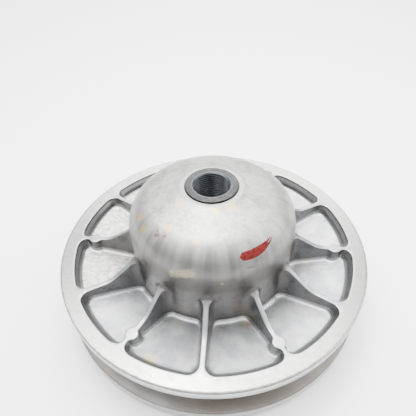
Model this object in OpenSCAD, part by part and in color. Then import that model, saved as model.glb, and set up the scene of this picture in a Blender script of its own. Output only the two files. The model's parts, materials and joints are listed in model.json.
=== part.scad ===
// Driven pulley of a belt CVT: a ribbed, domed fixed sheave pressed on a steel
// hub post, and a sliding sheave that follows a torque cam on three rollers.
// The pulley's axis is Z.  Z = 0 is the lower end of the hub post.

/* [Sheaves] */
// Outside diameter of both sheaves
sheave_d = 279.4; // [270:0.1:290]
// Slope of each belt face, in degrees
belt_slope = 12; // [11.5:0.5:12.5]
// Width of the belt groove at the rim with the sheaves closed
groove_w = 31; // [29:0.5:32]
// Height of the belt groove's middle plane
mid_z = 30.5; // [30:0.5:32]
// Height of each rim's cylindrical edge
rim_h = 10; // [9:0.5:10.5]
// Thickness of the web behind each belt face
web_t = 4.2; // [3.5:0.1:5]
// Width of the flat land around each rim
land_w = 12.5; // [11:0.5:14]

/* [Dome] */
// Outside radius of the dome's wall
dome_r = 72.4; // [71.5:0.1:74]
// Thickness of the dome's wall
dome_wall = 5.4; // [4.5:0.1:6]
// Radius of the dome's shoulder
shoulder_r = 30.3; // [27:0.1:33]
// Slope of the dome's crown, in degrees
crown_slope = 17.7; // [15:0.1:19]
// Height of the machined land around the hub
crown_z = 125.1; // [124:0.1:127]
// Outside radius of that machined land
hub_land_r = 26.6; // [25.5:0.1:28]

/* [Ribs] */
// Number of ribs and of pockets between them
rib_count = 12; // [10:2:14]
// Thickness of a rib
rib_t = 4.6; // [4:0.1:6]
// Height at which the ribs leave the dome
rib_top_z = 73; // [68:1:76]
// Corner radius of a pocket beside the dome
inner_corner_r = 9; // [6:1:10]
// Corner radius of a pocket beside the rim
outer_corner_r = 8; // [6:1:9]
// Radius of the boss on every other rib
boss_r = 5.6; // [5:0.1:6]
// Distance of those bosses from the axis
boss_at = 113; // [111:1:114]
// Radius of the relief between a boss and the rim
relief_r = 5.2; // [4.5:0.1:5.5]

/* [Hub post] */
// Radius of the post where the sheave slides
post_r = 19; // [18.5:0.1:19.2]
// Radius of the post's head, pressed in the dome
head_r = 22.2; // [21.8:0.1:22.8]
// Height of the post's top
post_top_z = 126.6; // [126.2:0.1:128]
// Radius of the bore for the driven shaft
shaft_r = 12.7; // [12:0.1:12.7]
// Radius of the puller thread's plain core
thread_core_r = 14.7; // [14:0.1:15]
// Width of the shaft's keyway
keyway_w = 6.35; // [5:0.05:6.35]

/* [Cam and rollers] */
// Travel of the sliding sheave
travel = 28; // [20:1:28]
// Turn of the sliding sheave over that travel, in degrees
cam_turn = 32.5; // [28:0.5:33]
// Radius of a roller
roller_r = 8; // [7:0.5:8]
// Height of the rollers with the sheaves closed
roller_z = 45; // [44.5:0.5:46]
// Radius of a roller's pin
pin_r = 4; // [3.5:0.1:4.2]

/* [Spring] */
// Mean radius of the spring
spring_r = 35; // [34:0.1:36]
// Diameter of the spring's wire
wire_d = 4.5; // [3.5:0.1:4.5]
// Number of open coils
open_coils = 5; // [4:0.5:5]

/* [Hidden] */
$fn = 96;

// Sheave profile
sheave_r = sheave_d / 2;
rim_top_z = mid_z + groove_w / 2 + rim_h;
rim_low_z = 2 * mid_z - rim_top_z;
meet_r = sheave_r - groove_w / 2 / tan(belt_slope);
face_in_r = 70;
edge_c = 1.2;
belt_edge_c = 0.8;
pocket_r = sheave_r - land_w;

// Dome profile
cavity_r = dome_r - dome_wall;
shoulder_at = dome_r - shoulder_r;
tangent_r = shoulder_at + shoulder_r * sin(crown_slope);
tangent_z = crown_z - (tangent_r - hub_land_r) * tan(crown_slope);
shoulder_z = tangent_z - shoulder_r * cos(crown_slope);
inner_arc_r = shoulder_r - dome_wall;
sleeve_r = 30;
sleeve_z = 92;

// Hub post
mouth_r = 15.9;
mouth_c = mouth_r - thread_core_r;
keyway_r = 15.1;
ring_z = 1.2;
ring_t = 1.6;
groove_r = 17.6;
key_w = 6;
key_in_r = 16;
key_out_r = 22.2;
key_z = 4.8;
key_len = 14;

// Parts stacked on the post
fit_gap = 0.05;
washer_z = ring_z + ring_t;
cam_z = washer_z + 1.4;
cam_floor_z = 8.2;
spring_low_z = 12;
cam_hub_z = 20;
cam_hub_r = 29;
cam_boss_r = 41;
crown_in_r = 44;
crown_out_r = 53;
crown_top_z = 50;

// Sliding sheave
tower_in_r = 58;
tower_out_r = 64;
skirt_r = 66;
roof_low_z = 80;
roof_top_z = 86;
hub_top_z = 88.2;
hub_low_z = 52;
hub_r = 27;
bushing_r = 22;
bushing_len = 14;
seat_t = 3;

// Rollers, each at one of three stations around the axis
STATIONS = [30, 150, 270];
roller_in = 44.1;
roller_out = 54;
washer_in = 54.2;
washer_out = 55.6;
liner_r = 5.4;
pin_in = 41.2;
pin_out = 63.6;
clip_in = 42.6;
clip_t = 1;
clip_groove_r = 3.2;

// Cam ramps
turn_rate = cam_turn / travel;
ramp_gap = 0.3;
ramp_rise = atan(travel / (crown_in_r * cam_turn * PI / 180));
ramp_offset = (roller_r + ramp_gap) / (crown_in_r * sin(ramp_rise)) * 180 / PI;
back_offset = cam_turn + asin((roller_r + 0.6) / crown_in_r);

// Deflection screws
SCREW_STATIONS = [15, 135, 255];
screw_at = 74;
screw_r = 3;
screw_low_z = 2.5;
screw_top_z = 31;
boss_low_z = 9;
screw_boss_r = 8.5;
nut_t = 4.5;

// How far a pocket's inner corners run into the wall beside them
corner_sink = 0.05;

// Heights of the fixed sheave's belt face and of the pocket floor behind it
function face_z(r) = mid_z + (r - meet_r) * tan(belt_slope);
function floor_z(r) = face_z(r) + web_t / cos(belt_slope);
function mirrored(z) = 2 * mid_z - z;
function polar(r, a) = [r * cos(a), r * sin(a)];
function arc(c, r, a0, a1, n) = [for (i = [0:n]) c + polar(r, a0 + (a1 - a0) * i / n)];

// Centre of a corner that touches a rib's side, at a distance from the pulley's axis
function corner(at, r) = polar(at, 180 / rib_count - asin((rib_t / 2 + r) / at));

// Half of a pocket's outline, on the positive side of the pocket's centre line
function pocket_half(in_r) =
    let (
        wall_a = 180 / rib_count + 90,
        in_c = corner(in_r + inner_corner_r - corner_sink, inner_corner_r),
        out_c = corner(pocket_r - outer_corner_r, outer_corner_r),
        in_a = atan2(in_c[1], in_c[0]),
        out_a = atan2(out_c[1], out_c[0])
    )
    concat(
        [polar(in_r - 3, in_a)],
        arc(in_c, inner_corner_r, in_a + 180, wall_a, 7),
        arc(out_c, outer_corner_r, wall_a, out_a, 7),
        [for (i = [1:3]) polar(pocket_r, out_a * (1 - i / 4))]
    );

// All the pockets in plan, reaching just inside the wall at in_r: reliefs are cut beside bossed ribs
module pockets_2d(in_r, bossed) {
    half = pocket_half(in_r);
    mirror_half = [for (i = [len(half) - 1:-1:0]) [half[i][0], -half[i][1]]];
    relief_at = pocket_r - relief_r - 1.2;
    relief_side = rib_t / 2 - 0.3 + relief_r;
    difference() {
        union() {
            for (i = [0:rib_count - 1])
                rotate((i + 0.5) * 360 / rib_count) polygon(concat(half, [[pocket_r, 0]], mirror_half));
            if (bossed)
                for (i = [0:2:rib_count - 1], side = [-1, 1])
                    rotate(i * 360 / rib_count) translate([relief_at, side * relief_side]) circle(relief_r);
        }
        if (bossed)
            for (i = [0:2:rib_count - 1]) rotate(i * 360 / rib_count) translate([boss_at, 0]) circle(boss_r);
    }
}

// The fixed sheave's disc, with its ribs standing behind the belt face
module ribbed_disc() {
    root_r = dome_r - dome_wall / 2;
    difference() {
        rotate_extrude() polygon([
            [root_r, face_z(face_in_r)], [face_in_r, face_z(face_in_r)],
            [sheave_r - belt_edge_c, face_z(sheave_r - belt_edge_c)],
            [sheave_r, face_z(sheave_r) + belt_edge_c / 2],
            [sheave_r, rim_top_z - edge_c], [sheave_r - edge_c, rim_top_z],
            [106, rim_top_z], [100, rim_top_z + 0.9], [94, rim_top_z + 3.2], [84, rim_top_z + 9.2],
            [dome_r, rib_top_z], [root_r, rib_top_z + 1]
        ]);
        intersection() {
            translate([0, 0, mid_z]) linear_extrude(rib_top_z) pockets_2d(dome_r, true);
            rotate_extrude() polygon([
                [dome_r - 8, floor_z(dome_r - 8)], [sheave_r, floor_z(sheave_r)],
                [sheave_r, rib_top_z + 10], [dome_r - 8, rib_top_z + 10]
            ]);
        }
    }
}

// The dome, with the sleeve inside it that holds the post's head
module dome() {
    sleeve_top_z = tangent_z + (tangent_r - sleeve_r) * tan(crown_slope) - dome_wall / cos(crown_slope);
    shoulder_c = [shoulder_at, shoulder_z];
    rotate_extrude() polygon(concat(
        [[cavity_r, face_z(face_in_r)], [dome_r, face_z(face_in_r)]],
        arc(shoulder_c, shoulder_r, 0, 90 - crown_slope, 12),
        [[hub_land_r, crown_z], [head_r, crown_z], [head_r, sleeve_z], [sleeve_r, sleeve_z]],
        [[sleeve_r, sleeve_top_z]],
        arc(shoulder_c, inner_arc_r, 90 - crown_slope, 0, 12)
    ));
}

module fixed_sheave() {
    color([0.66, 0.66, 0.65]) {
        ribbed_disc();
        dome();
    }
}

module post() {
    color([0.3, 0.31, 0.32]) difference() {
        rotate_extrude() polygon([
            [shaft_r + 1, 0], [post_r - 0.6, 0], [post_r, 0.6], [post_r, ring_z],
            [groove_r, ring_z], [groove_r, washer_z], [post_r, washer_z],
            [post_r, sleeve_z], [head_r, sleeve_z],
            [head_r, post_top_z - 0.6], [head_r - 0.6, post_top_z], [mouth_r, post_top_z],
            [thread_core_r, post_top_z - mouth_c], [thread_core_r, sleeve_z],
            [shaft_r, sleeve_z], [shaft_r, 1]
        ]);
        translate([0, -keyway_w / 2, -1]) cube([keyway_r, keyway_w, sleeve_z]);
        translate([-key_out_r, -key_w / 2, key_z]) cube([key_out_r - key_in_r, key_w, key_len]);
    }
}

// A flat ring between two radii
module ring(in_r, out_r, z, t) {
    translate([0, 0, z]) difference() {
        cylinder(r = out_r, h = t);
        translate([0, 0, -1]) cylinder(r = in_r, h = t + 2);
    }
}

module thrust_washer() {
    color([0.72, 0.56, 0.32]) ring(post_r + fit_gap, 28, hub_top_z + 0.3, sleeve_z - hub_top_z - 0.3);
}

// A wedge of the plane between two angles, wider than the cam
module wedge(a0, a1) {
    polygon(concat([[0, 0]], [for (i = [0:8]) polar(crown_out_r + 12, a0 + (a1 - a0) * i / 8)]));
}

// One tooth of the cam: a helical ramp in front and a straight back
module cam_tooth(station) {
    base_z = cam_floor_z - 2;
    tooth_h = crown_top_z - base_z;
    back_a = station + back_offset;
    ramp_a = station + 120 - ramp_offset + (roller_z - base_z) * turn_rate;
    intersection() {
        ring(crown_in_r, crown_out_r, base_z, tooth_h);
        translate([0, 0, base_z - 1]) linear_extrude(tooth_h + 2) wedge(back_a, back_a + 110);
        translate([0, 0, base_z])
            linear_extrude(tooth_h, twist = tooth_h * turn_rate, slices = 16, $fn = 24)
                wedge(ramp_a - 120, ramp_a);
    }
}

module cam() {
    color([0.45, 0.46, 0.47]) difference() {
        union() {
            translate([0, 0, cam_z]) cylinder(r = crown_out_r, h = cam_floor_z - cam_z);
            translate([0, 0, cam_z]) cylinder(r = cam_boss_r, h = spring_low_z - cam_z);
            translate([0, 0, cam_z]) cylinder(r = cam_hub_r, h = cam_hub_z - cam_z);
            for (station = STATIONS) cam_tooth(station);
        }
        cylinder(r = post_r + fit_gap, h = crown_top_z);
        translate([-key_out_r - 0.1, -key_w / 2, 0]) cube([key_out_r, key_w, crown_top_z]);
    }
}

module cam_key() {
    color([0.35, 0.35, 0.36])
        translate([-key_out_r, -key_w / 2, key_z]) cube([key_out_r - key_in_r, key_w, key_len]);
}

module cam_washer() {
    color([0.55, 0.55, 0.56]) ring(post_r + fit_gap, 27, washer_z, cam_z - washer_z);
}

module cam_snap_ring() {
    color([0.2, 0.2, 0.21]) difference() {
        ring(groove_r, 22.4, ring_z, ring_t);
        translate([-4, 0, 0]) cube([8, 30, 10]);
    }
}

// Height of the wire's centre after a number of turns: closed, open, closed coils
function wire_z(turns, low, high) =
    let (
        closed = wire_d + 0.2,
        pitch = (high - low - 2 * closed) / open_coils,
        open = max(0, min(turns - 1, open_coils))
    )
    low + closed * min(turns, 1) + pitch * open + closed * max(0, turns - 1 - open_coils);

module spring() {
    sides = 8;
    steps = 20;
    turns = open_coils + 2;
    rings = turns * steps;
    low = spring_low_z + wire_d / 2 + 0.1;
    high = roof_low_z - seat_t - wire_d / 2 - 0.1;
    points = [
        for (i = [0:rings], k = [0:sides - 1])
            let (a = i * 360 / steps, b = k * 360 / sides, r = spring_r + wire_d / 2 * cos(b))
            [r * cos(a), r * sin(a), wire_z(i / steps, low, high) + wire_d / 2 * sin(b)]
    ];
    walls = [
        for (i = [0:rings - 1], k = [0:sides - 1])
            let (n = (k + 1) % sides, a = i * sides, b = (i + 1) * sides)
            [a + k, a + n, b + n, b + k]
    ];
    ends = [[for (k = [sides - 1:-1:0]) k], [for (k = [0:sides - 1]) rings * sides + k]];
    color([0.25, 0.26, 0.28]) polyhedron(points, concat(walls, ends), convexity = 10);
}

module spring_seat() {
    color([0.16, 0.16, 0.17]) ring(28, 41, roof_low_z - seat_t, seat_t);
}

// The sliding sheave's disc, with its ribs standing below the belt face
module lower_disc() {
    root_r = (tower_in_r + skirt_r) / 2;
    face_low = mirrored(face_z(face_in_r));
    difference() {
        rotate_extrude() polygon([
            [root_r, rim_low_z], [sheave_r - edge_c, rim_low_z], [sheave_r, rim_low_z + edge_c],
            [sheave_r, mirrored(face_z(sheave_r)) - belt_edge_c / 2],
            [sheave_r - belt_edge_c, mirrored(face_z(sheave_r - belt_edge_c))],
            [face_in_r, face_low], [root_r, face_low]
        ]);
        intersection() {
            linear_extrude(mid_z) pockets_2d(skirt_r, false);
            rotate_extrude() polygon([
                [skirt_r - 8, mirrored(floor_z(skirt_r - 8))], [skirt_r - 8, -1],
                [sheave_r, -1], [sheave_r, mirrored(floor_z(sheave_r))]
            ]);
        }
    }
}

// The tower that carries the rollers, with its roof and the hub tube for the bushings
module tower() {
    face_low = mirrored(face_z(face_in_r));
    rotate_extrude() polygon([
        [tower_in_r, rim_low_z], [skirt_r, rim_low_z], [skirt_r, face_low], [tower_out_r, face_low],
        [tower_out_r, roof_top_z], [hub_r + 2, roof_top_z], [hub_r, hub_top_z],
        [bushing_r, hub_top_z], [bushing_r, hub_low_z], [hub_r, hub_low_z],
        [hub_r, roof_low_z], [tower_in_r, roof_low_z]
    ]);
}

module movable_sheave() {
    boss_h = mid_z - 3 - boss_low_z;
    color([0.62, 0.62, 0.61]) difference() {
        union() {
            lower_disc();
            tower();
            for (a = SCREW_STATIONS)
                rotate(a) translate([screw_at, 0, boss_low_z]) cylinder(r = screw_boss_r, h = boss_h);
            for (a = STATIONS) radial_cylinder(a, roller_r - 1, washer_out, tower_in_r + 2);
        }
        for (a = SCREW_STATIONS) rotate(a) translate([screw_at, 0, -1]) cylinder(r = screw_r, h = mid_z + 5);
        for (a = STATIONS) radial_cylinder(a, pin_r, pin_in, tower_out_r + 5);
        for (i = [0:5]) rotate(i * 60) translate([50, 0, roof_low_z - 1]) cylinder(r = 4.5, h = 10);
    }
}

// A cylinder on a roller's axis, from one distance from the pulley's axis to another
module radial_cylinder(station, r, from, to) {
    rotate(station) translate([from, 0, roller_z]) rotate([0, 90, 0]) cylinder(r = r, h = to - from);
}

module upper_bushing() {
    color([0.62, 0.47, 0.25]) ring(post_r + fit_gap, bushing_r, hub_top_z - bushing_len, bushing_len);
}

module lower_bushing() {
    color([0.62, 0.47, 0.25]) ring(post_r + fit_gap, bushing_r, hub_low_z, bushing_len);
}

module roller(station) {
    color([0.13, 0.13, 0.14]) rotate(station) translate([roller_in, 0, roller_z]) rotate([0, 90, 0])
        rotate_extrude() polygon([
            [liner_r, 0], [roller_r - 0.5, 0], [roller_r, 0.5], [roller_r, roller_out - roller_in - 0.5],
            [roller_r - 0.5, roller_out - roller_in], [liner_r, roller_out - roller_in]
        ]);
}

// A plain sleeve along a roller's pin
module sleeve(station, in_r, out_r, from, to) {
    difference() {
        radial_cylinder(station, out_r, from, to);
        radial_cylinder(station, in_r, from - 1, to + 1);
    }
}

module roller_bushing(station) {
    color([0.66, 0.5, 0.27]) sleeve(station, pin_r + fit_gap, liner_r, roller_in, roller_out);
}

module roller_pin(station) {
    groove = clip_in - pin_in;
    length = pin_out - pin_in;
    color([0.58, 0.58, 0.6]) rotate(station) translate([pin_in, 0, roller_z]) rotate([0, 90, 0])
        rotate_extrude() polygon([
            [0, 0], [pin_r - 0.5, 0], [pin_r, 0.5], [pin_r, groove], [clip_groove_r, groove],
            [clip_groove_r, groove + clip_t], [pin_r, groove + clip_t], [pin_r, length], [0, length]
        ]);
}

module roller_washer(station) {
    color([0.6, 0.6, 0.62]) sleeve(station, pin_r, roller_r - 1.2, washer_in, washer_out);
}

module roller_clip(station) {
    color([0.22, 0.22, 0.23]) difference() {
        sleeve(station, clip_groove_r, 6, clip_in, clip_in + clip_t);
        rotate(station) translate([clip_in - 1, -2, roller_z]) cube([clip_t + 2, 4, 10]);
    }
}

module deflection_screws() {
    color([0.3, 0.3, 0.31])
        for (a = SCREW_STATIONS) rotate(a) translate([screw_at, 0, screw_low_z]) difference() {
            cylinder(r = screw_r, h = screw_top_z - screw_low_z);
            translate([0, 0, -1]) cylinder(r = 1.75, h = 4, $fn = 6);
        }
}

module deflection_nuts() {
    color([0.62, 0.62, 0.63])
        for (a = SCREW_STATIONS) rotate(a) translate([screw_at, 0, boss_low_z - nut_t]) difference() {
            cylinder(r = 5.77, h = nut_t, $fn = 6);
            translate([0, 0, -1]) cylinder(r = screw_r, h = nut_t + 2);
        }
}

fixed_sheave();
post();
thrust_washer();
cam();
cam_key();
cam_washer();
cam_snap_ring();
spring();
spring_seat();
movable_sheave();
upper_bushing();
lower_bushing();
roller(STATIONS[0]);  // roller_1
roller(STATIONS[1]);  // roller_2
roller(STATIONS[2]);  // roller_3
roller_bushing(STATIONS[0]);  // roller_bushing_1
roller_bushing(STATIONS[1]);  // roller_bushing_2
roller_bushing(STATIONS[2]);  // roller_bushing_3
roller_pin(STATIONS[0]);  // roller_pin_1
roller_pin(STATIONS[1]);  // roller_pin_2
roller_pin(STATIONS[2]);  // roller_pin_3
roller_washer(STATIONS[0]);  // roller_washer_1
roller_washer(STATIONS[1]);  // roller_washer_2
roller_washer(STATIONS[2]);  // roller_washer_3
roller_clip(STATIONS[0]);  // roller_clip_1
roller_clip(STATIONS[1]);  // roller_clip_2
roller_clip(STATIONS[2]);  // roller_clip_3
deflection_screws();
deflection_nuts();
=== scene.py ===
"""The looks of the driven pulley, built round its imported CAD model."""
import json
import math

import bmesh
import bpy
import numpy as np
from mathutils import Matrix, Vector


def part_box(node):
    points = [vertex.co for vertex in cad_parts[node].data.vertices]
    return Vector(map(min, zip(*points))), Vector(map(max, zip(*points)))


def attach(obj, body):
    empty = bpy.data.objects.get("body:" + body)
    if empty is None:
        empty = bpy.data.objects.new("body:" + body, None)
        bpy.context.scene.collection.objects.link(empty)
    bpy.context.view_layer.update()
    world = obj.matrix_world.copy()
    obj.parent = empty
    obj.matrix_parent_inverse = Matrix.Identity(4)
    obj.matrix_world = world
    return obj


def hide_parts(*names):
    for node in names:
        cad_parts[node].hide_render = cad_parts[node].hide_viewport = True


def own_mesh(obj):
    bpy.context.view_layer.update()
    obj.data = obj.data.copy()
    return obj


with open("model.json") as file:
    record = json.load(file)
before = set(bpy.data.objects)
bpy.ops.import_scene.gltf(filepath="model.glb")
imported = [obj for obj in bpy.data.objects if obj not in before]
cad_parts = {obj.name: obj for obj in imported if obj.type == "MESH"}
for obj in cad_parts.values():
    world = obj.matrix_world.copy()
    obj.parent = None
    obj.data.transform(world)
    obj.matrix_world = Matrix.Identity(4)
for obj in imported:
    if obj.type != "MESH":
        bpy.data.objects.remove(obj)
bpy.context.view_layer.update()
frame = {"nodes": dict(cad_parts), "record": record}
MM = 0.001


# ---------------- sizes, in millimetres
def low_high(node):
    """A CAD node's lowest and highest corners in millimetres."""
    low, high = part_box(node)
    return np.array(low) / MM, np.array(high) / MM


FIXED_HIGH = low_high("fixed_sheave")[1]
MOVING_LOW, MOVING_HIGH = low_high("movable_sheave")
POST_HIGH = low_high("post")[1]

SHEAVE_R = FIXED_HIGH[0]
CROWN_Z = FIXED_HIGH[2]
CROWN_TOP_Z = POST_HIGH[2]
RIM_LOW_Z = MOVING_LOW[2]
GROOVE_W = 31.0
RIM_H = 10.0
MID_Z = RIM_LOW_Z + RIM_H + GROOVE_W / 2
RIM_TOP_Z = 2 * MID_Z - RIM_LOW_Z
# Belt faces: cones that meet in the groove's middle plane
SLOPE = math.tan(math.radians(12))
MEET_R = SHEAVE_R - GROOVE_W / 2 / SLOPE
FACE_IN_R = 70.0
# Web between a belt face and the pockets behind it
WEB_H = 4.3
POCKET_R = SHEAVE_R - 12.5
# Dome with a round shoulder, open below, and a sleeve inside it round the post's head
DOME_R = 72.4
CAVITY_R = 67.0
SHOULDER_R = 30.3
CROWN_SLOPE = math.radians(17.7)
HUB_LAND_R = 26.6
HEAD_R = POST_HIGH[0]
SLEEVE_R = 30.0
SLEEVE_Z = 92.0
RIBS = 12
HALF_PITCH = math.pi / RIBS
RIB_HALF = 2.3


def face_z(r):
    """Height of the fixed sheave's belt face."""
    return MID_Z + (r - MEET_R) * SLOPE


def floor_z(r):
    """Height of the pocket floor behind that face."""
    return face_z(r) + WEB_H


def mirrored_z(z):
    """The same height in the other sheave, seen in the groove's middle plane."""
    return 2 * MID_Z - z


# ---------------- small curve helpers
def smooth_max(a, b, k):
    """The larger of two numbers, blended over a distance k where they are close."""
    h = np.clip(0.5 + (a - b) / (2 * k), 0, 1)
    return b * (1 - h) + a * h + k * h * (1 - h)


def smooth_min(a, b, k):
    """The smaller of two numbers, blended in the same way."""
    return -smooth_max(-a, -b, k)


def ramp(x, low, high):
    """0 below low, 1 above high, with a smooth step between."""
    t = np.clip((x - low) / (high - low), 0, 1)
    return t * t * (3 - 2 * t)


def arc(centre, radius, start, stop, count):
    """Points on an arc, angles in degrees."""
    a = np.radians(np.linspace(start, stop, count))
    return np.c_[centre[0] + radius * np.cos(a), centre[1] + radius * np.sin(a)]


def polar(r, a):
    """A point in plan from its radius and its angle in radians."""
    return np.array([r * math.cos(a), r * math.sin(a)])


def at_azimuth(azimuth, r, z):
    """A point in space from its azimuth in degrees, its radius and its height."""
    a = math.radians(azimuth)
    return (r * math.cos(a), r * math.sin(a), z)


def corner_centre(at, r):
    """Centre of a corner of radius r that touches a rib's side, in the rib's frame."""
    y = RIB_HALF + r
    return np.array([np.sqrt(at * at - y * y), np.full(np.shape(at), y)])


# ---------------- mesh helpers
MERGE_DISTANCE = 0.002
ROUND_SIDES = 48


class Shell:
    """Collects vertices and faces of one closed shell, in millimetres."""

    def __init__(self):
        self.rows = []
        self.count = 0
        self.faces = []

    def add(self, points):
        """Adds points and returns their indices."""
        points = np.asarray(points, float).reshape(-1, 3)
        start = self.count
        self.rows.append(points)
        self.count += len(points)
        return np.arange(start, self.count)

    def bridge(self, a, b):
        """Quads between two closed rows of equal length."""
        n = len(a)
        for i in range(n):
            j = (i + 1) % n
            self.faces.append((a[i], a[j], b[j], b[i]))

    def fan(self, row, centre):
        """Triangles from a closed row to one point."""
        for i in range(len(row)):
            self.faces.append((row[i], row[(i + 1) % len(row)], centre))

    def lathe(self, profile, azimuths):
        """Turns (r, z) points into bridged rings; a radius may differ from azimuth to azimuth.
        Returns the first and the last ring."""
        across, along = np.cos(azimuths), np.sin(azimuths)
        rings = [self.add(np.c_[r * across, r * along, np.full(len(azimuths), z)]) for r, z in profile]
        for a, b in zip(rings, rings[1:]):
            self.bridge(a, b)
        return rings[0], rings[-1]

    def vertices(self):
        return np.vstack(self.rows)


def mark_edges(bm, sharp):
    """Smooth shading, with edges left sharp where faces meet at more than an angle in degrees."""
    for edge in bm.edges:
        edge.smooth = not edge.is_manifold or edge.calc_face_angle(0) < math.radians(sharp)
    for face in bm.faces:
        face.smooth = True


def make_object(name, shell, body, sharp=32):
    """A mesh object from a shell, cleaned, closed and smooth shaded; it rides its body, if any."""
    mesh = bpy.data.meshes.new(name)
    faces = [tuple(int(i) for i in face) for face in shell.faces]
    mesh.from_pydata((shell.vertices() * MM).tolist(), [], faces)
    bm = bmesh.new()
    bm.from_mesh(mesh)
    bmesh.ops.remove_doubles(bm, verts=bm.verts, dist=MERGE_DISTANCE * MM)
    bmesh.ops.dissolve_degenerate(bm, dist=1e-7, edges=bm.edges)
    bmesh.ops.recalc_face_normals(bm, faces=bm.faces)
    mark_edges(bm, sharp)
    bm.to_mesh(mesh)
    bm.free()
    mesh.update()
    obj = bpy.data.objects.new(name, mesh)
    bpy.context.scene.collection.objects.link(obj)
    if body:
        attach(obj, body)
    return obj


def cylinder(shell, centre, axis, radius, length):
    """Adds a closed cylinder, centred on a point."""
    axis = Vector(axis).normalized()
    side = axis.orthogonal().normalized()
    other = axis.cross(side)
    rows = []
    for end in (-1, 1):
        middle = Vector(centre) + axis * end * length / 2
        ring = [middle + (side * math.cos(a) + other * math.sin(a)) * radius
                for a in np.linspace(0, 2 * math.pi, ROUND_SIDES, endpoint=False)]
        rows.append(shell.add(ring))
    shell.bridge(*rows)
    shell.faces.append(tuple(rows[0]))
    shell.faces.append(tuple(rows[1]))


def combine(piece, other, operation):
    """Adds one closed mesh to another or cuts it out, and marks the edges again."""
    modifier = piece.modifiers.new(operation, "BOOLEAN")
    modifier.operation = operation
    modifier.object = other
    modifier.solver = "EXACT"
    mesh = bpy.data.meshes.new_from_object(piece.evaluated_get(bpy.context.evaluated_depsgraph_get()))
    piece.modifiers.clear()
    piece.data = mesh
    bpy.data.objects.remove(other)
    bm = bmesh.new()
    bm.from_mesh(mesh)
    mark_edges(bm, 32)
    bm.to_mesh(mesh)
    bm.free()


# ---------------- ribbed pockets
# Small boss on every other rib, and the round widening of the pocket on both sides of it
BOSS_AT = 113.0
BOSS_R = 5.6
RELIEF_R = 5.2
RELIEF_AT = np.array([POCKET_R - RELIEF_R - 1.2, RIB_HALF - 0.3 + RELIEF_R])
LAND_RING_R = POCKET_R + 3
# Corners of a pocket in plan
CORNER_IN_R = 9.0
CORNER_OUT_R = 8.0
# How far the inner corners of a pocket dip below its rib's top where they meet the dome
ROOT_SINK = 17.0
# Radius of the walls' rounded top edge and of the fillet at their foot
EDGE_R = 1.25
FILLET_R = 3.2
# How far walls move in per millimetre of depth: all of them, and the outer wall, which leans
# only down to one depth
WALL_DRAFT = 0.05
WALL_LEAN = 0.72
LEAN_DEPTH = 6.5
# How far into the metal and into the pocket a wall is looked for, and how often that is halved
SEARCH = (-5.0, 7.99)
SEARCH_STEPS = 34
# Points along a half pocket: inner arc, inner corner, rib, outer corner and outer arc
COUNTS = (14, 16, 64, 16, 14)


def half_outline(in_r, ring_r):
    """Half of a pocket's plain outline in its rib's frame, and directions into the pocket.
    The third list holds the points of the rib's middle or of the rings that the outline joins to."""
    c_in = corner_centre(in_r + CORNER_IN_R, CORNER_IN_R)
    c_out = corner_centre(POCKET_R - CORNER_OUT_R, CORNER_OUT_R)
    a_in = math.atan2(c_in[1], c_in[0])
    a_out = math.atan2(c_out[1], c_out[0])
    n1, n2, n3, n4, n5 = COUNTS
    outline = []
    for i in range(n1):
        a = HALF_PITCH + (a_in - HALF_PITCH) * i / n1
        outline.append((polar(in_r, a), polar(1, a), polar(ring_r, a)))
    for i in range(n2):
        a = math.pi + a_in + (math.pi / 2 - a_in) * i / n2
        t = 2 * i / n2
        x = ring_r + (c_in[0] - ring_r) * (t - 1)
        target = polar(ring_r, a_in * (1 - t)) if t < 1 else (x, 0)
        outline.append((c_in + polar(CORNER_IN_R, a), -polar(1, a), target))
    for i in range(n3):
        # The points stand closer together towards the rim
        t = i / n3
        x = c_in[0] + (c_out[0] - c_in[0]) * (1.35 * t - 0.35 * t * t)
        outline.append(((x, RIB_HALF), (0, 1), (x, 0)))
    for i in range(n4):
        a = -math.pi / 2 + (math.pi / 2 + a_out) * i / n4
        t = 2 * i / n4
        x = c_out[0] + (LAND_RING_R - c_out[0]) * t
        target = (x, 0) if t < 1 else polar(LAND_RING_R, a_out * (t - 1))
        outline.append((c_out + polar(CORNER_OUT_R, a), -polar(1, a), target))
    for i in range(n5 + 1):
        a = a_out + (HALF_PITCH - a_out) * i / n5
        outline.append((polar(POCKET_R, a), -polar(1, a), polar(LAND_RING_R, a)))
    return [np.array(column, float) for column in zip(*outline)]


def pocket_distance(p, in_r, bossed, shift):
    """Distance to a pocket's wall in the rib's frame: negative in the pocket, positive in the metal.
    The outer wall, its corner and its relief stand further in by shift."""
    c_in = corner_centre(in_r + CORNER_IN_R, CORNER_IN_R)
    c_out = corner_centre(POCKET_R - CORNER_OUT_R - shift, CORNER_OUT_R)
    r = np.hypot(p[..., 0], p[..., 1])
    azimuth = np.arctan2(p[..., 1], p[..., 0])
    near_out = (p[..., 0] > c_out[0]) & (azimuth < np.arctan2(c_out[1], c_out[0]))
    near_in = (p[..., 0] < c_in[0]) & (azimuth < math.atan2(c_in[1], c_in[0]))
    d = np.maximum(RIB_HALF - p[..., 1], np.maximum(r - (POCKET_R - shift), in_r - r))
    d = np.where(near_out, np.hypot(p[..., 0] - c_out[0], p[..., 1] - c_out[1]) - CORNER_OUT_R, d)
    d = np.where(near_in, np.hypot(p[..., 0] - c_in[0], p[..., 1] - c_in[1]) - CORNER_IN_R, d)
    if bossed:
        relief = np.hypot(p[..., 0] - (RELIEF_AT[0] - shift), p[..., 1] - RELIEF_AT[1]) - RELIEF_R
        boss = BOSS_R - np.hypot(p[..., 0] - BOSS_AT, p[..., 1])
        d = smooth_min(d, relief, 1.0)
        d = smooth_max(d, boss, 1.6)
    return d


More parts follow.
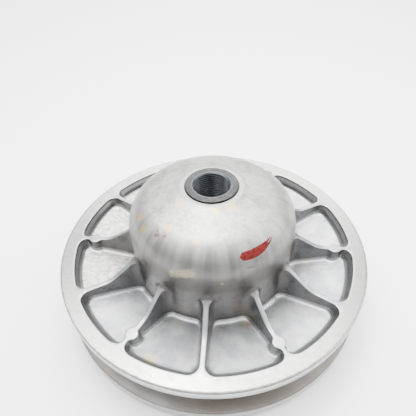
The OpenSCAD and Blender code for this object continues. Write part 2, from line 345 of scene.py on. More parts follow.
def wall_point(points, inward, depth, in_r, bossed, shift=0.0):
    """Moves outline points along their directions to where the wall's distance is -depth."""
    shift = np.zeros(len(points)) + shift
    low = np.full(len(points), SEARCH[0])
    high = np.full(len(points), SEARCH[1])
    for _ in range(SEARCH_STEPS):
        s = (low + high) / 2
        outside = pocket_distance(points + inward * s[:, None], in_r, bossed, shift) > -depth
        low = np.where(outside, s, low)
        high = np.where(outside, high, s)
    return points + inward * ((low + high) / 2)[:, None]


def fillet_radii(index, bossed, dome_side):
    """Radius of the fillet at the wall's foot along the outline: wider at the dome, and tighter
    past a boss and at the outer wall."""
    n1, n2, n3, n4 = COUNTS[:4]
    rib = n1 + n2
    corner = rib + n3 + n4
    fillet = np.full(len(index), FILLET_R)
    if dome_side:
        fillet = fillet + 1.4 * (1 - ramp(index, n1, rib))
    if bossed:
        past_boss = ramp(index, rib + 0.6 * n3, rib + 0.75 * n3)
        fillet = fillet - 0.9 * past_boss * (1 - ramp(index, corner - n4 / 2, sum(COUNTS)))
    return fillet - 1.0 * ramp(index, corner - 0.8 * n4, corner)


def pocket_rows(in_r, ring_r, bossed, top_z, dome_side):
    """Rows of one half pocket from the rib's middle down the wall to the floor, in the rib's frame."""
    points, inward, targets = half_outline(in_r, ring_r)
    index = np.arange(len(points))
    # 0 along the dome, where the wall has no rounded edge and no draft
    away = ramp(index, COUNTS[0], COUNTS[0] + COUNTS[1]) if dome_side else np.ones(len(index))
    edge = EDGE_R * away
    fillet = fillet_radii(index, bossed, dome_side)
    start = wall_point(points, inward, -edge, in_r, bossed)
    sink = np.zeros(len(index))
    if dome_side:
        start = np.where((away > 0)[:, None], start, points)
        beside = np.clip((start[:, 1] - RIB_HALF) / CORNER_IN_R, 0, 1)
        beside = beside * (start[:, 0] < in_r + 3 * CORNER_IN_R)
        close = 1 - ramp(np.hypot(*start.T), in_r + 2, in_r + 12)
        sink = ROOT_SINK * beside ** 1.4 * close * (away > 0)
    rows = []
    for t in (0, 0.5, 1):
        plan = targets * (1 - t) + start * t
        rows.append(np.c_[plan, top_z(np.hypot(*plan.T)) - sink * t])
    for phi in np.radians((22, 45, 67, 90)):
        plan = wall_point(points, inward, -edge * (1 - math.sin(phi)), in_r, bossed)
        plan = np.where((away > 0)[:, None], plan, points)
        rows.append(np.c_[plan, top_z(np.hypot(*plan.T)) - sink - edge * (1 - math.cos(phi))])
    top = rows[-1]
    drop = top[:, 2] - floor_z(np.hypot(top[:, 0], top[:, 1])) - fillet
    run = WALL_DRAFT * away * drop
    shift = WALL_LEAN * np.minimum(drop, LEAN_DEPTH)
    for t in (0.25, 0.5, 0.75):
        plan = wall_point(points, inward, run * t, in_r, bossed, shift * t)
        rows.append(np.c_[plan, top[:, 2] - drop * t])
    for psi in np.radians((0, 18, 36, 54, 72, 90)):
        plan = wall_point(points, inward, run + fillet * (1 - math.cos(psi)), in_r, bossed, shift)
        rows.append(np.c_[plan, floor_z(np.hypot(*plan.T)) + fillet * (1 - math.sin(psi))])
    return rows


def rotated(row, angle):
    """Points turned about the pulley's axis, angle in radians."""
    c, s = math.cos(angle), math.sin(angle)
    return np.c_[row[:, 0] * c - row[:, 1] * s, row[:, 0] * s + row[:, 1] * c, row[:, 2]]


def whole_ring(half):
    """Azimuths all the way round, from those of half a pocket."""
    half = np.unique(np.round(half, 9))
    sector = np.concatenate([half, (2 * HALF_PITCH - half[::-1])[1:-1]])
    return np.concatenate([sector + 2 * HALF_PITCH * k for k in range(RIBS)])


def ribbed_pockets(shell, in_r, ring_r, bossed_ribs, top_z, dome_side):
    """Adds all the pockets; returns the azimuths of the inner and outer rings that they leave open."""
    halves = {b: pocket_rows(in_r, ring_r, b, top_z, dome_side) for b in {False, bossed_ribs}}
    middle = (in_r + POCKET_R) / 2
    for k in range(RIBS):
        turn = 2 * HALF_PITCH * k
        near = halves[bossed_ribs and k % 2 == 0]
        far = halves[bossed_ribs and k % 2 == 1]
        last = None
        for a, b in zip(near, far):
            other = rotated(b * (1, -1, 1), 2 * HALF_PITCH)[::-1]
            loop = rotated(np.vstack([a[:-1], other[:-1]]), turn)
            row = shell.add(loop)
            if last is not None:
                shell.bridge(last, row)
            last = row
        centre = polar(middle, turn + HALF_PITCH)
        for t in (0.12, 0.26, 0.42, 0.6, 0.8):
            plan = loop[:, :2] * (1 - t) + centre * t
            row = shell.add(np.c_[plan, floor_z(np.hypot(*plan.T))])
            shell.bridge(last, row)
            last = row
        shell.fan(last, shell.add([[*centre, floor_z(middle)]])[0])
    targets = half_outline(in_r, ring_r)[2]
    azimuth = np.arctan2(targets[:, 1], targets[:, 0])
    n1, n2, n3, n4 = COUNTS[:4]
    inner = azimuth[: n1 + n2 // 2 + 1]
    outer = azimuth[n1 + n2 + n3 + n4 // 2:]
    return whole_ring(inner), whole_ring(outer)


# ---------------- fixed sheave
# Rib tops: their height and slope beside the dome, and the radius at which they run into it
RIDGE_Z = 73.0
RIDGE_SLOPE = 0.655
ROOT_R = 3.5


def rib_top_z(r):
    """Height of the ribs' tops: down from the dome, then level with the land."""
    ridge = smooth_max(RIDGE_Z - RIDGE_SLOPE * (r - DOME_R), RIM_TOP_Z, 4.0)
    near = np.clip(ROOT_R - (r - DOME_R), 0, ROOT_R)
    return ridge + ROOT_R - np.sqrt(ROOT_R ** 2 - near ** 2)


def crown_z(r):
    """Height of the dome's shallow cone round the hub."""
    return CROWN_Z - (r - HUB_LAND_R) * math.tan(CROWN_SLOPE)


def rim_and_face():
    """(r, z) points from the land over the rim and along the belt face."""
    low = face_z(SHEAVE_R)
    points = [
        (LAND_RING_R, RIM_TOP_Z), (SHEAVE_R - 3, RIM_TOP_Z), (SHEAVE_R - 1.0, RIM_TOP_Z),
        (SHEAVE_R - 0.62, RIM_TOP_Z - 0.1), (SHEAVE_R - 0.18, RIM_TOP_Z - 0.5), (SHEAVE_R, RIM_TOP_Z - 1.1),
        (SHEAVE_R, RIM_TOP_Z - 2.5), (SHEAVE_R, low + 1.6), (SHEAVE_R, low + 0.6),
        (SHEAVE_R - 0.25, low + 0.15),
    ]
    on_face = (SHEAVE_R - 0.8, SHEAVE_R - 2.5, 125, 110, 95, 80, FACE_IN_R + 0.8, FACE_IN_R)
    return points + [(r, face_z(r)) for r in on_face]


def build_fixed_sheave():
    """Ribbed web, rim and belt face below a hollow dome."""
    shell = Shell()
    inner, outer = ribbed_pockets(shell, DOME_R, DOME_R, True, rib_top_z, True)
    flat_z = face_z(FACE_IN_R)
    rim_end = shell.lathe(rim_and_face() + [(FACE_IN_R - 2, flat_z)], outer)[1]
    centre_r = DOME_R - SHOULDER_R
    tangent_z = crown_z(centre_r + SHOULDER_R * math.sin(CROWN_SLOPE))
    centre = (centre_r, tangent_z - SHOULDER_R * math.cos(CROWN_SLOPE))
    crown_start = 90 - math.degrees(CROWN_SLOPE)
    cavity = [(CAVITY_R, flat_z + 1), (CAVITY_R, 50), (CAVITY_R, 70)]
    cavity += list(arc(centre, SHOULDER_R - (DOME_R - CAVITY_R), 0, crown_start, 9))
    under_r, under_z = cavity[-1]
    sleeve_top_z = under_z + (under_r - SLEEVE_R) * math.tan(CROWN_SLOPE)
    cavity += [
        (SLEEVE_R + 2, sleeve_top_z - 2 * math.tan(CROWN_SLOPE)), (SLEEVE_R, sleeve_top_z - 1.5),
        (SLEEVE_R, SLEEVE_Z + 1), (SLEEVE_R - 1, SLEEVE_Z), (HEAD_R, SLEEVE_Z), (HEAD_R, CROWN_Z),
    ]
    dome = [
        (HEAD_R + 0.25, CROWN_Z), (HUB_LAND_R - 0.4, CROWN_Z), (HUB_LAND_R, CROWN_Z - 0.12),
        (HUB_LAND_R + 0.5, CROWN_Z - 0.35),
    ]
    dome += [(r, crown_z(r)) for r in (31, 37, 44)]
    dome += list(arc(centre, SHOULDER_R, crown_start, 0, 22))
    dome += [(DOME_R, 84.5), (DOME_R, 81), (DOME_R, float(rib_top_z(DOME_R)))]
    cavity_start = shell.lathe(cavity + dome, inner)[0]
    shell.bridge(rim_end, cavity_start)
    piece = make_object("fixed_sheave_casting", shell, "fixed_half")
    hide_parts("fixed_sheave")
    return piece


# ---------------- sliding sheave
SKIRT_R = 66.0
SKIRT_LAND_R = 61.5
TOWER_IN_R = 58.0
TOWER_OUT_R = 64.0
TOWER_EDGE = 0.6
HUB_TUBE_R = 27.0
BUSHING_R = 22.0
ROOF_LOW_Z = 80.0
ROOF_TOP_Z = 86.0
HUB_TOP_Z = MOVING_HIGH[2]
HUB_LOW_Z = low_high("lower_bushing")[0][2]
SCREW_AZIMUTHS = (15, 135, 255)
SCREW_AT = 74.0
SCREW_HOLE_R = 3.0
SCREW_BOSS_R = 8.5
SCREW_BOSS_H = 18.5
SCREW_BOSS_MIDDLE_Z = 18.25
ROLLER_AZIMUTHS = (30, 150, 270)
PIN_AT = 60.0
PIN_R = 4.0
PIN_Z = 45.0
ROOF_HOLE_AZIMUTHS = range(0, 360, 60)
ROOF_HOLE_AT = 50.0
ROOF_HOLE_R = 4.5


def flat_top_z(r):
    """The sliding sheave's ribs are level with its land."""
    return np.full(np.shape(r), RIM_TOP_Z)


def tower_profile():
    """(r, z) points up the tower's outside, down its inside and round its hub, the right way up."""
    flat_z = mirrored_z(face_z(FACE_IN_R))
    return [
        (TOWER_OUT_R + 0.8, flat_z), (TOWER_OUT_R, flat_z + 0.8), (TOWER_OUT_R, 50), (TOWER_OUT_R, 70),
        (TOWER_OUT_R, ROOF_TOP_Z - TOWER_EDGE), (TOWER_OUT_R - TOWER_EDGE, ROOF_TOP_Z), (45, ROOF_TOP_Z),
        (HUB_TUBE_R + 2, ROOF_TOP_Z), (HUB_TUBE_R, HUB_TOP_Z), (BUSHING_R, HUB_TOP_Z), (BUSHING_R, HUB_LOW_Z),
        (HUB_TUBE_R, HUB_LOW_Z), (HUB_TUBE_R, ROOF_LOW_Z - 2), (HUB_TUBE_R + 2, ROOF_LOW_Z), (45, ROOF_LOW_Z),
        (TOWER_IN_R - 2, ROOF_LOW_Z), (TOWER_IN_R, ROOF_LOW_Z - 2), (TOWER_IN_R, 60), (TOWER_IN_R, 40),
        (TOWER_IN_R, RIM_LOW_Z + TOWER_EDGE), (TOWER_IN_R + TOWER_EDGE, RIM_LOW_Z), (SKIRT_LAND_R, RIM_LOW_Z),
    ]


def build_movable_sheave():
    """Built upside down, as the fixed one is, then mirrored in the groove's middle plane."""
    shell = Shell()
    inner, outer = ribbed_pockets(shell, SKIRT_R, SKIRT_LAND_R, False, flat_top_z, False)
    rim_end = shell.lathe(rim_and_face(), outer)[1]
    tower_start = shell.lathe([(r, mirrored_z(z)) for r, z in tower_profile()], inner)[0]
    shell.bridge(rim_end, tower_start)
    for row in shell.rows:
        row[:, 2] = mirrored_z(row[:, 2])
    piece = make_object("movable_sheave_casting", shell, "sliding_half")
    bosses = Shell()
    for azimuth in SCREW_AZIMUTHS:
        middle = at_azimuth(azimuth, SCREW_AT, SCREW_BOSS_MIDDLE_Z)
        cylinder(bosses, middle, (0, 0, 1), SCREW_BOSS_R, SCREW_BOSS_H)
    combine(piece, make_object("screw_bosses", bosses, None), "UNION")
    # Each hole is made longer than the metal is thick there
    holes = Shell()
    for azimuth in SCREW_AZIMUTHS:
        cylinder(holes, at_azimuth(azimuth, SCREW_AT, 18), (0, 0, 1), SCREW_HOLE_R, 40)
    for azimuth in ROLLER_AZIMUTHS:
        cylinder(holes, at_azimuth(azimuth, PIN_AT, PIN_Z), at_azimuth(azimuth, 1, 0), PIN_R, 16)
    for azimuth in ROOF_HOLE_AZIMUTHS:
        roof_middle = at_azimuth(azimuth, ROOF_HOLE_AT, (ROOF_LOW_Z + ROOF_TOP_Z) / 2)
        cylinder(holes, roof_middle, (0, 0, 1), ROOF_HOLE_R, 20)
    combine(piece, make_object("holes", holes, None), "DIFFERENCE")
    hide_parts("movable_sheave")
    return piece


# ---------------- hub post
STEM_R = 19.0
THREAD_PITCH = 25.4 / 12
THREAD_CORE_R = 14.7
THREAD_DEPTH = 1.05
MOUTH_R = 15.9
SHAFT_R = 12.7
KEYWAY_HALF = 6.35 / 2
KEYWAY_R = 15.1
BORE_CHAMFER = 1.0


def thread_radius(z, azimuths):
    """Radius of the internal thread's wall at one height."""
    mouth_z = CROWN_TOP_Z - (MOUTH_R - THREAD_CORE_R)
    phase = (z / THREAD_PITCH - azimuths / (2 * math.pi)) % 1
    groove = ramp(1 - np.abs(2 * phase - 1), 0.2, 0.82)
    depth = THREAD_DEPTH * float(ramp(z, SLEEVE_Z + 1.2, SLEEVE_Z + 2.4))
    return np.maximum(THREAD_CORE_R + depth * groove, THREAD_CORE_R + z - mouth_z)


def bore_radius(azimuths, least):
    """Radius of the bore with its keyway towards +X, nowhere less than one number."""
    x, y = np.cos(azimuths), np.abs(np.sin(azimuths))
    across = np.maximum(y, 1e-9)
    in_slot = np.minimum(KEYWAY_R / np.maximum(x, 1e-9), KEYWAY_HALF / across)
    return np.where(x > 0, np.maximum(in_slot, least), least)


def build_post():
    """A stem with a snap ring's groove, a head, a thread down its mouth and a keyed bore."""
    corner = math.atan2(KEYWAY_HALF, KEYWAY_R)
    mouth = math.asin(KEYWAY_HALF / SHAFT_R)
    keyway = np.array([corner, mouth, 2 * math.pi - corner, 2 * math.pi - mouth])
    azimuths = np.sort(np.concatenate([np.linspace(0, 2 * math.pi, 180, endpoint=False), keyway]))
    top_z = CROWN_TOP_Z
    profile = [
        (bore_radius(azimuths, SHAFT_R + BORE_CHAMFER), 0.0),
        (STEM_R - 0.6, 0), (STEM_R, 0.6), (STEM_R, 1.2), (STEM_R - 1.4, 1.2), (STEM_R - 1.4, 2.8),
        (STEM_R, 2.8), (STEM_R, 30), (STEM_R, 60), (STEM_R, SLEEVE_Z), (HEAD_R, SLEEVE_Z),
        (HEAD_R, top_z - 0.7), (HEAD_R - 0.2, top_z - 0.25), (HEAD_R - 0.6, top_z),
        (HEAD_R - 1.2, top_z), (18, top_z), (MOUTH_R + 0.5, top_z), (MOUTH_R + 0.12, top_z - 0.05),
    ]
    thread_heights = np.arange(top_z - 0.17, SLEEVE_Z + 1, -THREAD_PITCH / 10)
    profile += [(thread_radius(z, azimuths), z) for z in thread_heights]
    profile += [(THREAD_CORE_R, SLEEVE_Z), (SHAFT_R, SLEEVE_Z), (SHAFT_R, SLEEVE_Z - 1)]
    profile += [(bore_radius(azimuths, SHAFT_R), z) for z in (SLEEVE_Z - 1, 60, 30, BORE_CHAMFER)]
    shell = Shell()
    first, last = shell.lathe(profile, azimuths)
    shell.bridge(last, first)
    piece = make_object("hub_post", shell, "fixed_half", sharp=40)
    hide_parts("post")
    return piece


# ---------------- spring
SPRING_LOW, SPRING_HIGH = low_high("spring")
WIRE_D = 4.5
SPRING_TURNS = 7
TURN_POINTS = 48
WIRE_SIDES = 16
CLOSED_PITCH = WIRE_D + 0.2


def build_spring():
    """A round wire coil with closed ends, between the cam and its seat."""
    mean_r = SPRING_HIGH[0] - WIRE_D / 2
    low, high = SPRING_LOW[2] + WIRE_D / 2, SPRING_HIGH[2] - WIRE_D / 2
    turns = np.linspace(0, SPRING_TURNS, SPRING_TURNS * TURN_POINTS + 1)
    knots = (0, 1, SPRING_TURNS - 1, SPRING_TURNS)
    heights = (low, low + CLOSED_PITCH, high - CLOSED_PITCH, high)
    # The change of pitch is averaged over 0.3 of a turn
    middle = np.mean([np.interp(turns + d, knots, heights) for d in np.linspace(-0.15, 0.15, 9)], axis=0)
    around = np.linspace(0, 2 * math.pi, WIRE_SIDES, endpoint=False)
    shell = Shell()
    rows = []
    for turn, z in zip(turns, middle):
        azimuth = 2 * math.pi * turn
        from_end = min(turn, SPRING_TURNS - turn) * 2 * math.pi * mean_r
        wire_r = WIRE_D / 2 - 0.5 * max(0, 1 - from_end / 2)
        r = mean_r + wire_r * np.cos(around)
        ring = np.c_[r * math.cos(azimuth), r * math.sin(azimuth), z + wire_r * np.sin(around)]
        rows.append(shell.add(ring))
    for a, b in zip(rows, rows[1:]):
        shell.bridge(a, b)
    shell.faces.append(tuple(rows[0]))
    shell.faces.append(tuple(rows[-1]))
    piece = make_object("compression_spring", shell, "fixed_half", sharp=50)
    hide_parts("spring")
    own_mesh(piece)
    return piece


fixed_sheave = build_fixed_sheave()
movable_sheave = build_movable_sheave()
hub_post = build_post()
spring = build_spring()


# ---------------- materials
class Surface:
    """One procedural material, worked in its piece's own coordinates in millimetres."""

    def __init__(self, name, colour, metallic, roughness):
        self.material = bpy.data.materials.new(name)
        self.material.use_nodes = True
        self.tree = self.material.node_tree
        self.shader = self.tree.nodes["Principled BSDF"]
        self.plug_all(self.shader, {"Base Color": (*colour, 1), "Metallic": metallic, "Roughness": roughness})
        metres = self.add("ShaderNodeTexCoord").outputs["Object"]
        to_mm = (1 / MM, 1 / MM, 1 / MM)
        self.place = self.work("ShaderNodeVectorMath", "MULTIPLY", (metres, to_mm))["Vector"]
        self.x, self.y, self.z = self.split(self.place)
        square = self.scaled(self.x, self.x, self.times(self.y, self.y))
        self.r = self.math("SQRT", square)
        self.turn = self.times(self.math("ARCTAN2", self.y, self.x), math.degrees(1))
        self.normal = None

    def add(self, kind):
        return self.tree.nodes.new(kind)

    def plug(self, socket, value):
        """Links another node's output to a socket, or sets the socket to a plain value."""
        if isinstance(value, bpy.types.NodeSocket):
            self.tree.links.new(value, socket)
        else:
            socket.default_value = value

    def plug_all(self, node, values):
        """Plugs values into a node's inputs by name; None leaves an input as it is."""
        for name, value in values.items():
            if value is not None:
                self.plug(node.inputs[name], value)

    def work(self, kind, operation, values):
        """A node that does one operation on values."""
        node = self.add(kind)
        if operation:
            node.operation = operation
        for socket, value in zip(node.inputs, values):
            self.plug(socket, value)
        return node.outputs

    def math(self, operation, *values):
        return self.work("ShaderNodeMath", operation, values)[0]

    def fold(self, operation, values):
        """One operation of two values, carried through a whole list."""
        total = values[0]
        for value in values[1:]:
            total = self.math(operation, total, value)
        return total

    def times(self, *values):
        """The product of values, or the place where all of several masks hold."""
        return self.fold("MULTIPLY", values)

    def either(self, *masks):
        """The place where any of several masks holds."""
        return self.fold("MAXIMUM", masks)

    def least(self, *values):
        """The smallest of several values."""
        return self.fold("MINIMUM", values)

    def minus(self, a, b):
        return self.math("SUBTRACT", a, b)

    def scaled(self, value, factor, added):
        """value * factor + added"""
        return self.math("MULTIPLY_ADD", value, factor, added)

    def split(self, vector):
        return self.work("ShaderNodeSeparateXYZ", None, [vector])

    def join(self, x, y=0.0, z=0.0):
        return self.work("ShaderNodeCombineXYZ", None, (x, y, z))[0]

    def facing(self):
        """How far the surface faces up or down, from 0 to 1."""
        normal = self.add("ShaderNodeNewGeometry").outputs["True Normal"]
        return self.math("ABSOLUTE", self.split(normal)[2])

    def gap(self, centre, size):
        """Distance to the edge of a round spot, negative inside it."""
        distance = self.work("ShaderNodeVectorMath", "DISTANCE", (self.place, centre))["Value"]
        return self.minus(distance, size)

    def step(self, value, low, high, start=0.0, stop=1.0):
        """A smooth step from start below low to stop above high."""
        node = self.add("ShaderNodeMapRange")
        node.interpolation_type = "SMOOTHSTEP"
        self.plug_all(node, {"Value": value, "From Min": low, "From Max": high,
                             "To Min": start, "To Max": stop})
        return node.outputs["Result"]

    def fall(self, value, low, high, start=1.0):
        """A smooth step down, from start below low to 0 above high."""
        return self.step(value, low, high, start, 0)

    def band(self, value, low, high, soft):
        """1 between low and high, with soft ends."""
        rise = self.step(value, low - soft, low + soft)
        return self.times(rise, self.fall(value, high - soft, high + soft))

    def noise(self, size, detail=2.0, place=None, roughness=0.55):
        """Noise with features of about one size in millimetres."""
        node = self.add("ShaderNodeTexNoise")
        self.plug_all(node, {"Vector": place or self.place, "Scale": 1 / size,
                             "Detail": detail, "Roughness": roughness})
        return node.outputs[0]

    def mix(self, factor, a, b):
        """Colour a where the factor is 0 and colour b where it is 1."""
        node = self.add("ShaderNodeMix")
        node.data_type = "RGBA"
        for index, value in ((0, factor), (6, a), (7, b)):
            self.plug(node.inputs[index], (*value, 1) if isinstance(value, tuple) else value)
        return node.outputs[2]

    def bump(self, height, depth):
        """Adds relief whose height goes from 0 to depth millimetres."""
        node = self.add("ShaderNodeBump")
        self.plug_all(node, {"Height": self.times(height, depth), "Distance": MM, "Normal": self.normal})
        self.normal = node.outputs[0]

    def finish(self, colour, roughness, metallic=None):
        """Plugs in what was worked out and returns the material."""
        self.plug_all(self.shader, {"Base Color": colour, "Roughness": roughness,
                                    "Metallic": metallic, "Normal": self.normal})
        return self.material


def paint(piece, material):
    piece.data.materials.clear()
    piece.data.materials.append(material)


# ---------------- marks on the dome
# Azimuth of the middle of the red stroke's bend
STROKE_AZIMUTH = -59.5
YELLOW = (0.56, 0.37, 0.12)
BROWN = (0.17, 0.115, 0.085)
# Azimuth, radius, height and size of each spot
YELLOW_SPOTS = (
    (-138.2, 33.8, 122.8, 2.9), (-126.7, 51.9, 117.0, 3.2), (-55.6, 29.8, 124.1, 3.0),
    (-81, 29.1, 124.3, 2.6), (-98.5, 55.2, 115.7, 2.0), (-155.1, 61.7, 111.4, 3.4),
    (-143.2, 63.2, 110.0, 3.0), (-79.9, 72.4, 89.4, 0.9),
)
BROWN_SPOTS = ((-130, 60.2, 112.6, 1.7), (-132.9, 57.5, 114.4, 1.2), (-124, 57.7, 114.3, 1.4))


def smear(s, colour, ragged):
    """A tan smear round part of the shoulder."""
    level = s.scaled(ragged, 0.8, s.scaled(s.turn, -0.378, s.z))
    around = s.math("ADD", s.turn, ragged)
    streaks = s.noise(2.4, 3, s.join(s.turn, s.times(s.z, 0.15)))
    mask = s.times(s.band(level, 132.4, 139.2, 1.3), s.band(around, -113, -96.6, 1.3))
    mask = s.times(mask, s.step(streaks, 0.3, 0.6, 0.66, 0.95))
    tan = s.mix(s.step(s.noise(1.5, 4), 0.4, 0.6), (0.27, 0.235, 0.15), (0.35, 0.31, 0.21))
    return s.mix(mask, colour, tan)


def spots(s, colour, tint, strength, places):
    """Small ragged stains of one colour."""
    blur = s.scaled(s.noise(5, 3), 9.0, -4.5)
    gap = s.least(*[s.gap(at_azimuth(azimuth, r, z), size) for azimuth, r, z, size in places])
    return s.mix(s.fall(s.math("ADD", gap, blur), -1.6, 0.9, strength), colour, tint)


def scratch(s, colour):
    """A short dark scratch that climbs a little."""
    along = s.scaled(s.turn, 0.3, s.z)
    mask = s.times(s.band(along, 80.2, 81.2, 0.25), s.band(s.turn, -65, -59.4, 0.8))
    return s.mix(s.times(mask, 0.85), colour, (0.1, 0.1, 0.1))


def brush_lines(s):
    """Noise drawn out along the paint stroke, bent as the brush bent."""
    along = s.minus(s.turn, STROKE_AZIMUTH)
    across = s.scaled(s.times(along, along), -0.008, s.z)
    return s.noise(0.8, 2, s.join(s.times(s.turn, 0.06), across))


def stroke_mask(s, ragged):
    """One stroke of paint, blunt where the brush touched down and dry where it left."""
    turn = s.scaled(ragged, 0.5, s.turn)
    z = s.math("ADD", s.z, s.scaled(s.noise(1.3, 2), 0.9, -0.45))
    along = s.minus(turn, STROKE_AZIMUTH)
    blunt = s.fall(turn, -68.6, -65.6, 2.1)
    bottom = s.math("ADD", s.scaled(s.times(along, along), 0.0142, 104.7), blunt)
    top = s.minus(s.scaled(s.step(turn, -60, -38), 0.6, 110.3), blunt)
    inside = s.times(s.step(s.minus(z, bottom), -0.35, 0.35), s.step(s.minus(top, z), -0.35, 0.35))
    inside = s.times(inside, s.step(turn, -68.4, -67.6), s.fall(turn, -39, -36.5))
    tail = s.step(s.turn, -56, -41)
    dry = s.step(s.minus(brush_lines(s), s.scaled(tail, 0.62, -0.12)), -0.05, 0.07)
    return s.times(inside, dry)


def dome_marks(s, colour):
    """Stains, a scratch and paint on the dome; returns the colour and the paint's mask."""
    ragged = s.scaled(s.noise(2.2, 3), 3.0, -1.5)
    colour = smear(s, colour, ragged)
    colour = spots(s, colour, YELLOW, 0.62, YELLOW_SPOTS)
    colour = spots(s, colour, BROWN, 0.9, BROWN_SPOTS)
    colour = scratch(s, colour)
    stroke = stroke_mask(s, ragged)
    mottle = s.step(s.noise(1.3, 4, roughness=0.7), 0.4, 0.62)
    red = s.mix(mottle, (0.06, 0.004, 0.003), (0.2, 0.012, 0.01))
    return s.mix(stroke, colour, red), stroke


# ---------------- cast aluminium
class Casting(Surface):
    """A sheave's material, with masks of its surfaces and the noises that they share."""

    def __init__(self, name, mirrored):
        super().__init__(name, (0.5, 0.5, 0.5), 1.0, 0.45)
        # Height the fixed sheave's way up; the sliding sheave is its mirror image
        self.up = self.minus(2 * MID_Z, self.z) if mirrored else self.z
        self.above_face = self.minus(self.up, self.scaled(self.r, SLOPE, MID_Z - MEET_R * SLOPE))
        self.above_floor = self.minus(self.above_face, WEB_H)
        self.off_face = self.step(self.above_face, 1.0, 2.0)
        self.near_top = self.step(self.up, SLEEVE_Z + 20, SLEEVE_Z + 24)
        on_land = self.step(self.up, RIM_TOP_Z - 0.5, RIM_TOP_Z - 0.1)
        past_tower = self.step(self.r, FACE_IN_R - 1, FACE_IN_R)
        self.belt = self.times(self.fall(self.above_face, 0.3, 0.7), past_tower)
        self.land = self.times(on_land, self.step(self.r, POCKET_R - 4, POCKET_R))
        self.side = self.step(self.r, SHEAVE_R - 0.6, SHEAVE_R - 0.2)
        self.dome = self.times(self.fall(self.r, DOME_R + 0.4, DOME_R + 1.5), self.step(self.up, 72, 80))
        self.outer_dome = self.step(self.r, 48, 66)
        self.hub = self.times(self.fall(self.r, HUB_LAND_R - 0.1, HUB_LAND_R + 0.4), self.near_top)
        self.floor = self.fall(self.above_floor, 0.2, 1.4)
        self.low = self.times(self.fall(self.above_floor, 0.2, 5.0), self.off_face)
        machined_top = self.either(self.land, self.hub, self.dome)
        at_foot = self.band(self.above_floor, 0.5, 3.4, 0.5)
        self.fillet = self.times(at_foot, self.fall(machined_top, 0.2, 0.4))
        self.patch = self.noise(7, 4)
        self.grain = self.noise(0.9, 3, roughness=0.65)
        self.pits = self.noise(2.6, 4, roughness=0.6)
        self.rings = self.noise(0.28, 2, self.join(self.r))
        self.streaks = self.noise(3.4, 1, self.join(self.times(self.turn, 0.45), self.times(self.z, 0.03)))


def cast_colour(s):
    """Rough, as it left the mould."""
    colour = s.mix(s.step(s.noise(26, 3), 0.35, 0.65), (0.24, 0.25, 0.26), (0.32, 0.32, 0.33))
    colour = s.mix(s.step(s.grain, 0.3, 0.75, 0.0, 0.28), colour, (0.37, 0.37, 0.36))
    return s.mix(s.step(s.patch, 0.52, 0.7, 0.0, 0.3), colour, (0.17, 0.16, 0.16))


def dome_colour(s):
    """Dressed smooth: blotched on top and streaked down the side; darker and browner at the foot as painted
    shade.
    """
    streaked = s.mix(s.step(s.streaks, 0.36, 0.64), (0.235, 0.232, 0.223), (0.385, 0.382, 0.37))
    blotches = s.step(s.noise(14, 5, roughness=0.7), 0.38, 0.62)
    blotched = s.mix(blotches, (0.215, 0.212, 0.199), (0.33, 0.327, 0.315))
    flecks = s.step(s.noise(4.5, 5, roughness=0.75), 0.42, 0.64, 0, 0.65)
    blotched = s.mix(flecks, blotched, (0.42, 0.416, 0.4))
    colour = s.mix(s.outer_dome, blotched, streaked)
    scuffs = s.noise(1.2, 3, s.join(s.times(s.turn, 1.9), s.times(s.z, 0.05), s.times(s.r, 0.05)))
    colour = s.mix(s.times(s.outer_dome, s.step(scuffs, 0.5, 0.75, 0.0, 0.2)), colour, (0.21, 0.21, 0.2))
    colour = s.mix(s.step(s.pits, 0.55, 0.75, 0.0, 0.4), colour, (0.19, 0.18, 0.17))
    # Painted shade: the dome's lower wall is darkened and browned towards its foot.
    foot_shade = s.fall(s.scaled(s.streaks, 8.0, s.up), 92, 110, 0.66)
    return s.mix(foot_shade, colour, (0.13, 0.123, 0.115))


def turned_colour(s):
    """Turned on a lathe, with tarnished patches."""
    colour = s.mix(s.step(s.rings, 0.3, 0.7), (0.29, 0.287, 0.28), (0.37, 0.366, 0.35))
    return s.mix(s.step(s.patch, 0.5, 0.68, 0, 0.4), colour, (0.2, 0.19, 0.172))


def belt_colour_and_shade(s):
    """Rubbed grey and brown by the belt, and dark overall as painted shade of the deep groove."""
    # Painted shade: the belt face is coloured dark so that the groove reads as deep shadow.
    colour = s.mix(s.noise(1.4, 2, s.join(s.r)), (0.14, 0.129, 0.119), (0.26, 0.247, 0.232))
    return s.mix(s.step(s.noise(45, 2), 0.4, 0.66, 0, 0.5), colour, (0.1, 0.078, 0.062))


def floor_colour(s):
    """A pocket's floor: cloudy and scored, and chalky in the pockets past the rib at 210 degrees."""
    clouds = s.step(s.noise(17, 4, roughness=0.6), 0.36, 0.62)
    colour = s.mix(clouds, (0.26, 0.272, 0.288), (0.42, 0.424, 0.43))
    past_rib = s.step(s.scaled(s.x, -math.tan(2 * HALF_PITCH), s.y), -1, 1)
    left = s.times(past_rib, s.fall(s.x, -50, -35))
    chalk = s.step(s.noise(5, 5, roughness=0.75), 0.44, 0.6, 0, 0.8)
    colour = s.mix(s.times(left, 0.8), colour, (0.28, 0.274, 0.255))
    colour = s.mix(s.times(left, chalk), colour, (0.6, 0.59, 0.55))
    scores = s.noise(1.5, 4, s.join(s.times(s.turn, 1.1), s.times(s.r, 0.14)))
    scores = s.step(scores, 0.54, 0.66, 0, 0.7)
    return s.mix(s.times(s.scaled(left, 0.8, 0.2), scores), colour, (0.08, 0.076, 0.066))


def surface_colours(s):
    """Each surface in its own colour, before dirt and stains."""
    colour = s.mix(s.dome, cast_colour(s), dome_colour(s))
    colour = s.mix(s.either(s.land, s.hub, s.side), colour, turned_colour(s))
    hub_rings = s.step(s.noise(0.9, 1, s.join(s.r)), 0.42, 0.6, 0, 0.7)
    colour = s.mix(s.times(s.hub, hub_rings), colour, (0.16, 0.155, 0.145))
    return s.mix(s.belt, colour, belt_colour_and_shade(s))


